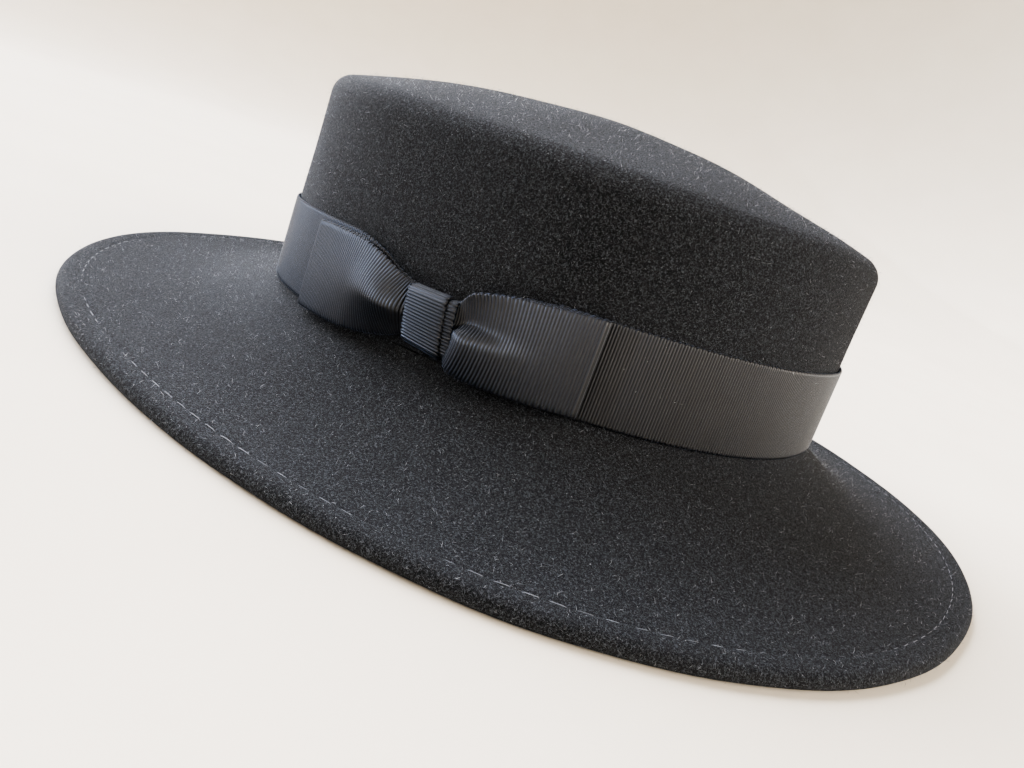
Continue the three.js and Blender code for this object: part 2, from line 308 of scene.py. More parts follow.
# Nap. Loose wool fibres that brushing has lifted off the felt, most of them lying flat and some
# standing, which blur the outline. A real fibre is 0.03 mm thick, too fine to show here, so each is
# drawn about twice as thick, as a bent spindle.
fibre_half_width = 0.030
lying_lengths = (0.35, 1.1)
standing_lengths = (0.8, 2.0)
standing_share = 0.2
lying_rise = (0.08, 0.35)
standing_rise = (0.5, 1.2)
lying_settle = (-0.3, 0.1)
standing_settle = (0.2, 1.0)
fibre_veer = 1.1
fibre_root_depth = 0.08
fibre_tilt = 0.01
crown_fibre_count = 32000
crown_nap_seed = 21


def scatter_on(rings, count, draw):
    """Points spread evenly over a grid of rings, with the outward direction at each."""
    ahead = np.roll(rings, -1, axis=1)
    low = rings[:-1]
    low_ahead = ahead[:-1]
    high = rings[1:]
    high_ahead = ahead[1:]
    normal = np.cross(low_ahead - low, high - low).reshape(-1, 3)
    area = np.linalg.norm(normal, axis=1)
    chosen = draw.choice(len(area), size=count, p=area / area.sum())
    u = draw.random((count, 1))
    v = draw.random((count, 1))
    corners = [side.reshape(-1, 3)[chosen] for side in (low, low_ahead, high, high_ahead)]
    points = ((1 - u) * (1 - v) * corners[0] + u * (1 - v) * corners[1]
              + (1 - u) * v * corners[2] + u * v * corners[3])
    return points, normal[chosen] / area[chosen][:, None]


def unit(vectors):
    """Vectors of length one."""
    return vectors / np.linalg.norm(vectors, axis=-1, keepdims=True)


def nap_fibres(points, normals, draw):
    """Bent spindles rooted in the felt: root, a ring of three in the middle, and tip."""
    count = len(points)
    heading = unit(np.cross(normals, draw.normal(size=(count, 3))))
    veer = draw.normal(scale=fibre_veer, size=(count, 1))
    turned = heading * np.cos(veer) + np.cross(normals, heading) * np.sin(veer)
    standing = draw.random((count, 1)) < standing_share
    length = np.where(standing, draw.uniform(*standing_lengths, (count, 1)),
                      draw.uniform(*lying_lengths, (count, 1)))
    rise = np.where(standing, draw.uniform(*standing_rise, (count, 1)),
                    draw.uniform(*lying_rise, (count, 1)))
    settle = np.where(standing, draw.uniform(*standing_settle, (count, 1)),
                      draw.uniform(*lying_settle, (count, 1)))
    root = points - fibre_root_depth * normals
    middle = root + length * 0.5 * (heading * np.cos(rise) + normals * np.sin(rise))
    tip = middle + length * 0.5 * (turned * np.cos(settle) + normals * np.sin(settle))
    run = unit(tip - root)
    side = unit(np.cross(run, normals + fibre_tilt * heading))
    over = np.cross(side, run)
    ring = [fibre_half_width * (side * np.cos(turn) + over * np.sin(turn))
            for turn in (0, 2 * np.pi / 3, 4 * np.pi / 3)]
    spindle = np.stack([root, middle + ring[0], middle + ring[1], middle + ring[2], tip], axis=1)
    pattern = np.array([[0, 2, 1], [0, 3, 2], [0, 1, 3], [4, 1, 2], [4, 2, 3], [4, 3, 1]])
    faces = (np.arange(count)[:, None, None] * 5 + pattern).reshape(-1, 3)
    return spindle.reshape(-1, 3), faces.tolist()


crown_nap_draw = np.random.default_rng(crown_nap_seed)
crown_skin = hand_blocked(outer_rings, crown_out_of_true, crown_blocking_seed)
nap_points, nap_normals = scatter_on(crown_skin, crown_fibre_count, crown_nap_draw)
nap_mesh = nap_fibres(nap_points, nap_normals, crown_nap_draw)
make_piece("crown_nap", *nap_mesh, wool_fibre, "wool_felt")


# Brim. A second hood of the same felt, pulled over a brim block and cut to an oval. It falls from
# the crown and flattens out to the rim, where it is folded under and sewn down. A short upright
# collar inside the band carries the crown.
brim_width = 60.4
brim_corner_fullness = 1.4
brim_fall_power = 2.4
break_radius = 2.0
rim_radius = 2.2
hem_width = 7.5
hem_zone = 9.0
stitch_inset = 6.2
groove_depth = 0.16
groove_half_width = 0.7
rim_swell = 0.1
rim_swell_inset = 3.6
rim_swell_half_width = 1.5
floor_clearance = 0.02
brim_columns = 400
break_rows = 8
fall_rows = 34
rim_rows = 15
rim_rows_with_nap = 11
brim_out_of_true = 0.12
brim_blocking_seed = 12
brim_fibre_count = 32500
brim_nap_seed = 22
# Distances in from the edge of the rows over the hem, the rows under it, and the heights of the
# rows up its cut edge.
hem_insets = (8.4, 7.9, hem_width, 7.1, 6.8, 6.5, stitch_inset, 5.9, 5.6, 5.3, 4.9, 4.4, 3.8, 3.2, 2.7)
underside_insets = (3.5, 4.9, 5.5, 5.9, stitch_inset, 6.5, 6.9, 7.2)
cut_edge_heights = (0.25, 1.2, 2.2)


def reach_at(angles):
    """Width of the brim, crown to rim."""
    return brim_width - brim_corner_fullness * np.cos(4 * angles)


def fall_height(out, angles):
    """Height of the brim's upper face at a distance out from the crown."""
    length = reach_at(angles) - rim_radius
    drop = foot_height(angles) - 2 * rim_radius
    return 2 * rim_radius + drop * np.clip(1 - out / length, 0, 1) ** brim_fall_power


def stitch_groove(inset):
    """Depth of the groove that the stitches draw, by the distance in from the edge."""
    return groove_depth * np.exp(-((inset - stitch_inset) / groove_half_width) ** 2)


def hem_relief(inset):
    """Swell of the folded rim less the stitch groove, by the distance in from the edge."""
    swell = rim_swell * np.exp(-((inset - rim_swell_inset) / rim_swell_half_width) ** 2)
    return swell - stitch_groove(inset)


brim_angles = np.linspace(0, 2 * np.pi, brim_columns, endpoint=False)
brim_reach = reach_at(brim_angles)
fall_length = brim_reach - rim_radius
foot = foot_height(brim_angles)
upper_sections = []
collar_top = foot + collar_height
upper_sections.append((np.full(brim_columns, -cut_edge_round), collar_top))
upper_sections.append((np.zeros(brim_columns), collar_top - cut_edge_round))
for turn in np.linspace(0, np.pi / 2, break_rows):
    out = break_radius * (1 - np.cos(turn)) + 0 * foot
    upper_sections.append((out, fall_height(out, brim_angles) + break_radius * (1 - np.sin(turn))))
for share in np.linspace(0, 1, fall_rows)[1:]:
    out = break_radius + share * (brim_reach - hem_zone - break_radius)
    upper_sections.append((out, fall_height(out, brim_angles)))
for inset in hem_insets:
    out = brim_reach - inset
    upper_sections.append((out, fall_height(out, brim_angles) + hem_relief(inset)))
hem_edge = len(upper_sections) - len(hem_insets) + hem_insets.index(hem_width)
rim_sections = []
for turn in np.linspace(np.pi / 2, -np.pi / 2, rim_rows):
    lift = hem_relief(rim_radius) * max(0, np.sin(turn))
    rim_sections.append((fall_length + rim_radius * np.cos(turn),
                         rim_radius * (1 + np.sin(turn)) + lift + 0 * foot))
for inset in underside_insets:
    rim_sections.append((brim_reach - inset, stitch_groove(inset) + 0 * foot))
for height in cut_edge_heights:
    rim_sections.append((brim_reach - hem_width, height + 0 * foot))
lower_sections = []
for index in range(2, hem_edge):
    out, height = upper_sections[index]
    before_out, before_height = upper_sections[index - 1]
    after_out, after_height = upper_sections[index + 1]
    run = after_out - before_out
    climb = after_height - before_height
    slant = np.hypot(run, climb)
    lower_sections.append((out + felt_thickness * climb / slant, height - felt_thickness * run / slant))
lower_sections.insert(0, (-felt_thickness + 0 * foot, collar_top - cut_edge_round))
lower_sections.insert(0, (cut_edge_round - felt_thickness + 0 * foot, collar_top))
brim_sections = upper_sections + rim_sections + lower_sections[::-1]
brim_rings = hat_rings(brim_angles, brim_sections)
brim_rings = hand_blocked(brim_rings, brim_out_of_true, brim_blocking_seed)
brim_rings[..., 2] = np.maximum(brim_rings[..., 2], floor_clearance)
brim_faces = loft_faces(len(brim_rings), brim_columns, rows_close=True)
brim_faces = [face[::-1] for face in brim_faces]
brim_felt = make_piece("brim_felt", brim_rings, brim_faces, wool_felt, "wool_felt")
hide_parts("brim")

brim_nap_draw = np.random.default_rng(brim_nap_seed)
brim_skin = brim_rings[:len(upper_sections) + rim_rows_with_nap][::-1]
nap_points, nap_normals = scatter_on(brim_skin, brim_fibre_count, brim_nap_draw)
nap_mesh = nap_fibres(nap_points, nap_normals, brim_nap_draw)
nap_mesh[0][:, 2] = np.maximum(nap_mesh[0][:, 2], floor_clearance)
make_piece("brim_nap", *nap_mesh, wool_fibre, "wool_felt")


# Hem stitches. One row of lockstitch in grey cotton thread holds the folded rim. Each stitch is
# pulled down into the felt at its ends, on top of the brim and on its underside alike.
stitch_pitch = 5.5
stitch_half_length = 1.95
stitch_shift = 0.1
stitch_veer = 0.09
stitch_dip = 0.22
stitch_dip_power = 5
thread_radius = 0.085
thread_end_taper = 0.45
thread_taper_power = 4
thread_stand_above = 0.6
thread_sink_below = 0.2
stitch_sides = 6
stitch_stations = np.linspace(-1, 1, 7)
stitch_seed = 31
row_steps = 2881

# Cotton sewing thread: twisted and mercerised, so it has a dull shine and a slight change of grey.
thread_dark = linear("#42474e")
thread_pale = linear("#737983")
sewing_thread = empty_material("cotton_sewing_thread")
tree = sewing_thread.node_tree
thread_draw = add_node(tree, "ShaderNodeNewGeometry").outputs["Random Per Island"]
thread_colour = add_node(
    tree, "ShaderNodeMix", data_type="RGBA", links={0: thread_draw},
    values={6: thread_dark, 7: thread_pale}).outputs[2]
thread_surface = add_node(
    tree, "ShaderNodeBsdfPrincipled", links={"Base Color": thread_colour},
    values={"Roughness": 0.55, "IOR": 1.53, "Sheen Weight": 0.2})
add_node(tree, "ShaderNodeOutputMaterial", links={"Surface": thread_surface.outputs["BSDF"]})

fine_angles = np.linspace(0, 2 * np.pi, row_steps)
fine_reach = reach_at(fine_angles)
row_x, row_y = oval(fine_angles, fine_reach - stitch_inset)
row_length = np.concatenate([[0], np.cumsum(np.hypot(np.diff(row_x), np.diff(row_y)))])
stitch_count = round(row_length[-1] / stitch_pitch)
stitch_draw = np.random.default_rng(stitch_seed)
stitch_points = []
stitch_faces = []
for side_up in (1, -1):
    first_place = 0.5 if side_up > 0 else 0.0
    middles = (np.arange(stitch_count) + first_place) * row_length[-1] / stitch_count
    for middle in middles:
        veer = stitch_draw.normal(scale=stitch_veer)
        along = middle + stitch_draw.normal(scale=stitch_shift) + stitch_half_length * stitch_stations
        along = along % row_length[-1]
        path_x = np.interp(along, row_length, row_x)
        path_y = np.interp(along, row_length, row_y)
        angle = np.interp(along, row_length, fine_angles)
        dip = stitch_dip * np.abs(stitch_stations) ** stitch_dip_power
        if side_up > 0:
            surface = fall_height(np.interp(angle, fine_angles, fine_reach) - stitch_inset, angle)
            height = surface - groove_depth + thread_stand_above * thread_radius - dip
        else:
            height = groove_depth - thread_sink_below * thread_radius + dip
        forward = unit(np.stack([np.gradient(path_x), np.gradient(path_y), 0 * path_x], axis=-1))
        sideways = np.stack([-forward[:, 1], forward[:, 0], 0 * path_x], axis=-1)
        path = np.stack([path_x, path_y, height], axis=-1) + veer * stitch_stations[:, None] * sideways
        taper = thread_end_taper * np.abs(stitch_stations) ** thread_taper_power
        radius = thread_radius * (1 - taper)
        start = len(stitch_points) * len(stitch_stations) * stitch_sides
        turns = 2 * np.pi * np.arange(stitch_sides) / stitch_sides
        tube = (path[:, None] + radius[:, None, None]
                * (np.cos(turns)[None, :, None] * sideways[:, None]
                   + np.sin(turns)[None, :, None] * np.array([0, 0, 1.0])))
        stitch_points.append(tube.reshape(-1, 3))
        quads = np.array(loft_faces(len(stitch_stations), stitch_sides)) + start
        stitch_faces.extend(quads.tolist())
        stitch_faces.append([start + side for side in range(stitch_sides)][::-1])
        last = start + (len(stitch_stations) - 1) * stitch_sides
        stitch_faces.append([last + side for side in range(stitch_sides)])
make_piece("hem_stitches", np.concatenate(stitch_points), stitch_faces, sewing_thread, "wool_felt")


# Ribbon band. Black grosgrain, 25 mm wide, drawn round the foot of the crown so that it hides the
# joint. Thick weft cords run straight across it and give the ribs, and the weft turns back at both
# edges in small loops, one for every two ribs.
ribbon_lift = 2.2
ribbon_half_thickness = 0.10
rib_pitch = 0.81
rib_height = 0.30
edge_loop_reach = 0.5
edge_loop_half_thickness = 0.22
edge_loop_least = 0.2
rib_roundness = 0.8
steps_per_rib = 6
band_middle_out = 0.78
band_table_steps = 11521
band_shares = (0.0, 0.02, 0.3, 0.7, 0.98, 1.0)
bow_angle = np.radians(102.7)

# Grosgrain: a filament warp over thick weft cords, woven tight. The cords shine along their backs
# like satin, so the ribbon turns from black to silver as it turns to the light. The valleys between
# the cords are painted near black, a painted shade.
# Real filaments lie closer together than 0.3 mm, and are drawn coarser so that they show.
ribbon_black = linear("#080b0f")
ribbon_grey = linear("#1f2630")
painted_valley_shade = linear("#010102")
valley_shade_sharpness = 2.5
filament_spacing = 0.30
warp_patch_size = 6.0
filament_relief = 0.05

grosgrain = empty_material("grosgrain_ribbon")
tree = grosgrain.node_tree
place = add_node(tree, "ShaderNodeTexCoord").outputs["Object"]
yarn = add_node(
    tree, "ShaderNodeTexNoise", links={"Vector": place},
    values={"Scale": 1 / (filament_spacing * millimetre), "Detail": 2.0, "Roughness": 0.6}).outputs["Fac"]
warp_patches = add_node(
    tree, "ShaderNodeTexNoise", links={"Vector": place},
    values={"Scale": 1 / (warp_patch_size * millimetre), "Detail": 2.0, "Roughness": 0.5}).outputs["Fac"]
ribbon_mix = add_node(tree, "ShaderNodeMath", operation="MULTIPLY",
                      links={0: yarn, 1: warp_patches}).outputs[0]
ribbon_colour = add_node(
    tree, "ShaderNodeMix", data_type="RGBA", links={0: ribbon_mix},
    values={6: ribbon_black, 7: ribbon_grey}).outputs[2]
# Painted shade: the colour is mixed towards near black in the valleys between the ribs, by how near each
# point is to the back of a rib.
crest = add_node(tree, "ShaderNodeAttribute", attribute_name="rib_crest_for_shade").outputs["Fac"]
crest = add_node(tree, "ShaderNodeMath", operation="POWER", values={1: valley_shade_sharpness},
                 links={0: crest}).outputs[0]
ribbon_colour = add_node(
    tree, "ShaderNodeMix", data_type="RGBA", links={0: crest, 7: ribbon_colour},
    values={6: painted_valley_shade}).outputs[2]
ribbon_roughness = add_node(
    tree, "ShaderNodeMapRange", links={"Value": yarn},
    values={"From Min": 0.3, "From Max": 0.7, "To Min": 0.38, "To Max": 0.50}).outputs["Result"]
ribbon_bump = add_node(
    tree, "ShaderNodeBump", links={"Height": yarn},
    values={"Strength": 0.35, "Distance": filament_relief * millimetre}).outputs["Normal"]
ribbon_surface = add_node(
    tree, "ShaderNodeBsdfPrincipled",
    links={"Base Color": ribbon_colour, "Roughness": ribbon_roughness, "Normal": ribbon_bump},
    values={"IOR": 1.54, "Specular IOR Level": 0.4, "Sheen Weight": 0.35, "Sheen Roughness": 0.15,
            "Sheen Tint": linear("#b0c8f0")})
add_node(tree, "ShaderNodeOutputMaterial", links={"Surface": ribbon_surface.outputs["BSDF"]})


def woven_ribbon(middle, run, closed=False):
    """Ribbon with ribs about its middle surface, given as columns along the run, rows across.

    The section goes up one face, round the loops of the upper edge and down the other face. Also
    returns how near each point is to the back of a rib, which paints shade into the valleys.
    """
    columns, rows = middle.shape[:2]
    if closed:
        ahead = np.roll(middle, -1, axis=0) - np.roll(middle, 1, axis=0)
    else:
        ahead = np.gradient(middle, axis=0)
    normal = unit(np.cross(ahead, np.gradient(middle, axis=1)))
    crest = np.abs(np.sin(np.pi * run / rib_pitch))
    half = (ribbon_half_thickness + rib_height * crest ** rib_roundness)[:, None, None]
    two_ribs = np.abs(np.sin(0.5 * np.pi * run / rib_pitch))
    swell = edge_loop_least + (1 - edge_loop_least) * np.sqrt(two_ribs)[:, None]
    upper_tip = middle[:, -1] + edge_loop_reach * swell * unit(middle[:, -1] - middle[:, -2])
    lower_tip = middle[:, 0] + edge_loop_reach * swell * unit(middle[:, 0] - middle[:, 1])
    upper_round = edge_loop_half_thickness * swell * normal[:, -1]
    lower_round = edge_loop_half_thickness * swell * normal[:, 0]
    upper_loop = np.stack([upper_tip + upper_round, upper_tip - upper_round], axis=1)
    lower_loop = np.stack([lower_tip - lower_round, lower_tip + lower_round], axis=1)
    outer = middle + normal * half
    inner = middle - normal * half
    sections = np.concatenate([outer, upper_loop, inner[:, ::-1], lower_loop], axis=1)
    size = 2 * rows + 4
    faces = loft_faces(columns, size, rows_close=closed)
    if not closed:
        cut_end = [[row, row + 1, 2 * rows - row, 2 * rows + 1 - row] for row in range(rows - 1)]
        cut_end.append([rows - 1, rows, rows + 1, rows + 2])
        cut_end.append([2 * rows + 1, 2 * rows + 2, 2 * rows + 3, 0])
        far = (columns - 1) * size
        for quad in cut_end:
            faces.append(quad[::-1])
            faces.append([far + corner for corner in quad])
    return sections, faces, np.repeat(crest, size)


def mark_crests_for_shade(piece, crests):
    """Keeps on each point of a ribbon how near it is to the back of a rib, for the painted valley shade.
    """
    piece.data.attributes.new("rib_crest_for_shade", "FLOAT", "POINT").data.foreach_set("value", crests)


def signed_volume(points, faces):
    """Volume enclosed by a mesh, negative where its faces look inwards."""
    points = np.asarray(points).reshape(-1, 3)
    total = 0.0
    for face in faces:
        for second, third in zip(face[1:-1], face[2:]):
            total += np.dot(points[face[0]], np.cross(points[second], points[third]))
    return total / 6


table_angles = np.linspace(-np.pi, 3 * np.pi, band_table_steps)
table_x, table_y = oval(table_angles, band_middle_out)
table_run = np.concatenate([[0], np.cumsum(np.hypot(np.diff(table_x), np.diff(table_y)))])
table_run -= np.interp(0, table_angles, table_run)
band_length = np.interp(2 * np.pi, table_angles, table_run)
band_ribs = 2 * round(band_length / rib_pitch / 2)
band_columns = band_ribs * steps_per_rib
band_run = np.arange(band_columns) / band_columns * band_length
band_angles = np.interp(band_run, table_run, table_angles)
bow_run = np.interp(bow_angle, table_angles, table_run)
# The knot gathers the band with the loops: distance from the middle of the bow, lower, upper edge.
gather_table = np.array([
    [-32.0, 0.0, 25.0],
    [-26.0, 0.8, 24.0],
    [-19.0, 2.0, 22.0],
    [-13.0, 4.2, 18.8],
    [-7.0, 6.6, 17.4],
    [0.0, 6.8, 17.0],
    [8.4, 5.6, 17.0],
    [11.0, 5.0, 19.0],
    [17.0, 1.8, 22.0],
    [26.0, 1.0, 23.6],
    [32.0, 0.0, 25.0],
])
band_low = np.interp(band_run - bow_run, gather_table[:, 0], gather_table[:, 1])
band_high = np.interp(band_run - bow_run, gather_table[:, 0], gather_table[:, 2])
band_middle = []
for share in band_shares:
    level = foot_height(band_angles) + ribbon_lift + band_low + share * (band_high - band_low)
    x, y = oval(band_angles, band_middle_out - lean_at(band_angles, level))
    band_middle.append(np.stack([x, y, level], axis=-1))
band_middle = np.stack(band_middle, axis=1)
rib_run = band_run * band_ribs * rib_pitch / band_length
band_points, band_faces, band_crests = woven_ribbon(band_middle, rib_run, closed=True)
ribbon_band = make_piece("band_grosgrain", band_points, band_faces, grosgrain, "grosgrain_ribbon")
mark_crests_for_shade(ribbon_band, band_crests)
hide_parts("ribbon_band")


# Bow loops. Two lengths of the same ribbon on the wearer's left, each turned back on itself at a
# pressed fold and gathered under the knot. The gather throws a crease across the front layer: on
# the front loop it breaks downwards, on the back loop the lower half puffs out under a hollow.
back_layer_out = 2.0
front_layer_out = 3.2
loop_rows = 21
layer_steps = 400
fold_steps = 41
fold_ease_length = 2.0
table_rounding = 1.6
table_rounding_steps = 9
front_crease_spread = 0.34
back_crease_spread = 0.7
crease_drop = 0.12
crease_drop_power = 1.5
hollow_start = 0.14
hollow_power = 0.7
# One row for each place along a loop, in millimetres: distance from the middle of the bow, lower
# and upper edge of the ribbon above the band's lower edge, stand of the front layer off the back
# one, roundness across it, height of the crease, its place across the ribbon as a share, depth of
# the flap behind the crease, and how far the edges are drawn in towards the knot.
loop_columns = ("reach", "low", "high", "stand", "belly", "crease", "crease_place", "flap", "drawn_in")
front_loop_table = np.array([
    [1.5, 6.0, 17.6, 0.3, 0.0, 0.0, 0.38, 0.0, 0.0],
    [5.0, 5.6, 18.0, 0.4, 0.2, 0.4, 0.38, 0.2, 0.4],
    [8.0, 4.6, 18.3, 1.2, 0.6, 2.2, 0.44, 0.8, 1.6],
    [12.0, 3.2, 19.6, 2.0, 1.0, 2.4, 0.46, 1.6, 2.4],
    [18.0, 1.4, 22.3, 2.5, 1.2, 1.0, 0.48, 1.4, 1.8],
    [25.0, 0.2, 24.1, 2.1, 0.8, 0.1, 0.48, 0.3, 0.7],
    [34.0, -0.3, 24.1, 1.4, 0.3, 0.0, 0.50, 0.0, 0.0],
    [41.0, -0.6, 24.0, 0.8, 0.1, 0.0, 0.50, 0.0, 0.0],
    [46.6, -0.8, 23.6, 0.4, 0.0, 0.0, 0.50, 0.0, 0.0],
])
back_loop_table = np.array([
    [1.5, 4.4, 17.2, 0.3, 0.0, 0.0, 0.50, 0.0, 0.0],
    [8.6, 4.2, 17.6, 0.3, 0.1, 0.2, 0.50, 0.1, 0.3],
    [10.9, 3.4, 19.6, 1.2, 0.3, 2.0, 0.50, 1.6, 1.0],
    [13.0, 2.0, 21.4, 2.4, 0.5, 3.0, 0.49, 2.8, 1.8],
    [18.0, 1.0, 23.0, 2.7, 0.7, 1.5, 0.47, 1.6, 1.4],
    [25.0, 0.6, 24.2, 2.2, 0.6, 0.3, 0.46, 0.2, 0.5],
    [33.0, 0.6, 24.8, 1.3, 0.3, 0.0, 0.46, 0.0, 0.0],
    [43.0, 0.8, 25.3, 0.4, 0.0, 0.0, 0.46, 0.0, 0.0],
])


def bow_point(distance, height, out):
    """Points by the distance along the band, the height above its lower edge, and off the wall."""
    angle = np.interp(bow_run + distance, table_run, table_angles)
    level = foot_height(angle) + ribbon_lift + height
    x, y = oval(angle, out - lean_at(angle, level))
    return np.stack([x, y, level], axis=-1)


def eased(table, column, reach):
    """A column of a loop's table at a reach, with the corners of the table rounded off."""
    shifts = np.linspace(-table_rounding, table_rounding, table_rounding_steps)
    values = table[:, loop_columns.index(column)]
    return np.mean([np.interp(reach + shift, table[:, 0], values) for shift in shifts], axis=0)


def bow_loop(table, side, flap_below):
    """Middle surface of one loop and the run along it: back layer out, fold, front layer back."""
    fold_reach = table[-1, 0]
    start_reach = table[0, 0]
    fold_top = front_layer_out + table[-1, loop_columns.index("stand")]
    fold_middle = (back_layer_out + fold_top) / 2
    fold_radius = (fold_top - back_layer_out) / 2
    out_run = np.linspace(start_reach, fold_reach, layer_steps)
    turns = np.linspace(-np.pi / 2, np.pi / 2, fold_steps)[1:-1]
    back_run = out_run[::-1]
    reach = np.concatenate([out_run, fold_reach + fold_radius * np.cos(turns), back_run])
    stand = front_layer_out + eased(table, "stand", back_run)
    fold_rise = fold_middle + fold_radius * np.sin(turns)
    ease_in = np.exp(-(fold_reach - back_run) / fold_ease_length)
    stand = stand + ease_in * (fold_top - stand)
    out = np.concatenate([np.full(len(out_run), back_layer_out), fold_rise, stand])
    front = np.concatenate([np.zeros(len(out_run)), np.zeros(len(turns)), 1 - ease_in])
    length = np.concatenate([[0], np.cumsum(np.hypot(np.diff(reach), np.diff(out)))])
    run = np.arange(0, length[-1], rib_pitch / steps_per_rib)
    reach = np.interp(run, length, reach)
    out = np.interp(run, length, out)
    front = np.interp(run, length, front)
    share = np.linspace(0, 1, loop_rows)
    edge_reach = np.minimum(reach, fold_reach)
    low = eased(table, "low", edge_reach)[:, None]
    high = eased(table, "high", edge_reach)[:, None]
    belly = eased(table, "belly", edge_reach)[:, None] * np.sin(np.pi * share)
    offset = share - eased(table, "crease_place", edge_reach)[:, None]
    past_crease = -offset if flap_below else offset
    crease_spread = front_crease_spread if flap_below else back_crease_spread
    gentle_side = np.exp(-(offset / crease_spread) ** 2)
    far_edge = share[0] if flap_below else share[-1]
    past_share = np.clip(past_crease / np.abs(far_edge - (share - offset)), 0, 1)
    if flap_below:
        flap_side = 1 - past_share
        flap_depth = past_share
    else:
        flap_side = np.clip(1 - past_crease / crease_drop, 0, 1) ** crease_drop_power
        flap_depth = np.clip(past_crease / hollow_start, 0, 1) * (1 - past_share) ** hollow_power
    crease_shape = np.where(past_crease > 0, flap_side, gentle_side)
    crease = eased(table, "crease", edge_reach)[:, None] * crease_shape
    lift = front[:, None] * (belly + crease - eased(table, "flap", edge_reach)[:, None] * flap_depth)
    height = low + (high - low) * share
    drawn_in = front[:, None] * eased(table, "drawn_in", edge_reach)[:, None] * (2 * share - 1) ** 2
    return bow_point(side * (reach[:, None] - drawn_in), height, out[:, None] + lift), run


for name, node, table, side, flap_below in (
    ("bow_front_grosgrain", "bow_loop_front", front_loop_table, -1, True),
    ("bow_back_grosgrain", "bow_loop_back", back_loop_table, 1, False),
):
    loop_middle, loop_run = bow_loop(table, side, flap_below)
    loop_points, loop_faces, loop_crests = woven_ribbon(loop_middle, loop_run)
    if signed_volume(loop_points, loop_faces) < 0:
        loop_faces = [face[::-1] for face in loop_faces]
    loop = make_piece(name, loop_points, loop_faces, grosgrain, "grosgrain_ribbon")
    mark_crests_for_shade(loop, loop_crests)
    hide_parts(node)


# Bow knot. A short piece of the ribbon, folded lengthwise to about half its width, wrapped over the
# middle of the bow and sewn behind it. Its ribs run across the bow's, and the under fold shows as
# a second edge on the side towards the back of the hat.
knot_high = 18.6
knot_low_front = 3.9
knot_low_back = 2.4
knot_front_out = 5.8
knot_tuck_out = 1.9
knot_corner = 1.7
knot_crown = 0.6
knot_skew = 2.6
knot_low_places = (-6.0, 8.0)
knot_edge_inset = 0.4
knot_rows = 11
corner_steps = 16
front_steps = 40
# The two folds: first and last distance along the band, and how deep the fold lies under the other.
knot_folds = ((-5.2, 5.4, 0.0), (-4.0, 8.0, 0.55))


def knot_wrap(first, last, under):
    """Middle surface of one fold of the knot between two distances along the band, and its run."""
    distance = np.linspace(first, last, knot_rows)
    low = np.interp(distance, knot_low_places, [knot_low_front, knot_low_back])
    low = low + knot_edge_inset + under
    high = knot_high - knot_edge_inset - under
    front_out = knot_front_out - under
    turns = np.linspace(0, np.pi / 2, corner_steps)
    rounding_height = knot_corner * (1 - np.cos(turns))
    rounding_out = front_out - knot_corner * (1 - np.sin(turns))
    flat = np.linspace(0, 1, front_steps)[1:-1]
    wrap_out = [np.array([knot_tuck_out]), rounding_out, np.full(len(flat), front_out),
                rounding_out[::-1], np.array([knot_tuck_out])]
    wrap_out = np.concatenate(wrap_out)
    mean_low = low.mean()
    span = high - mean_low
    down = np.concatenate([[0], rounding_height, knot_corner + flat * (span - 2 * knot_corner),
                           (span - rounding_height)[::-1], [span]])
    length = np.concatenate([[0], np.cumsum(np.hypot(np.diff(down), np.diff(wrap_out)))])
    run = np.arange(0, length[-1], rib_pitch / steps_per_rib)
    share_down = np.interp(run, length, down / span)[:, None]
    wrap_out = np.interp(run, length, wrap_out)[:, None]
    wrap_out = wrap_out + knot_crown * 4 * share_down * (1 - share_down)
    height = high + share_down * (low - high)
    return bow_point(distance + knot_skew * share_down, height, wrap_out + 0 * height), run


knot_points = []
knot_faces = []
knot_crests = []
for first, last, under in knot_folds:
    wrap_middle, wrap_run = knot_wrap(first, last, under)
    wrap_points, wrap_faces, wrap_crests = woven_ribbon(wrap_middle, wrap_run)
    if signed_volume(wrap_points, wrap_faces) < 0:
        wrap_faces = [face[::-1] for face in wrap_faces]
    start = sum(len(points) for points in knot_points)
    knot_points.append(wrap_points.reshape(-1, 3))
    knot_faces.extend([[start + corner for corner in face] for face in wrap_faces])
    knot_crests.append(wrap_crests)
knot_points = np.concatenate(knot_points)
knot = make_piece("knot_grosgrain", knot_points, knot_faces, grosgrain, "grosgrain_ribbon")
mark_crests_for_shade(knot, np.concatenate(knot_crests))
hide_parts("bow_knot")


# Floor and backdrop. One sheet of pale matt paper that runs flat under the hat and curves up all
# round it, so that no edge shows from any side. Its sizes are in metres.
paper_middle = 0.05
paper_flat = 0.9
paper_curve = 0.8
paper_height = 2.2
paper_columns = 96
paper_flat_rings = 8
paper_curve_rings = 16
flat_radii = np.linspace(paper_middle, paper_flat, paper_flat_rings)
paper_profile = [(radius, 0.0) for radius in flat_radii]
for turn in np.linspace(0, np.pi / 2, paper_curve_rings)[1:]:
    paper_profile.append((paper_flat + paper_curve * np.sin(turn), paper_curve * (1 - np.cos(turn))))
paper_profile.append((paper_flat + paper_curve, paper_height))
paper_turns = np.linspace(0, 2 * np.pi, paper_columns, endpoint=False)
paper_rings = np.array([np.stack([radius * np.cos(paper_turns), radius * np.sin(paper_turns),
                                  height + 0 * paper_turns], axis=-1)
                        for radius, height in paper_profile])
paper_points = np.concatenate([paper_rings.reshape(-1, 3), [[0, 0, 0]]])
paper_faces = loft_faces(len(paper_rings), paper_columns)
for column in range(paper_columns):
    paper_faces.append([len(paper_points) - 1, (column + 1) % paper_columns, column])

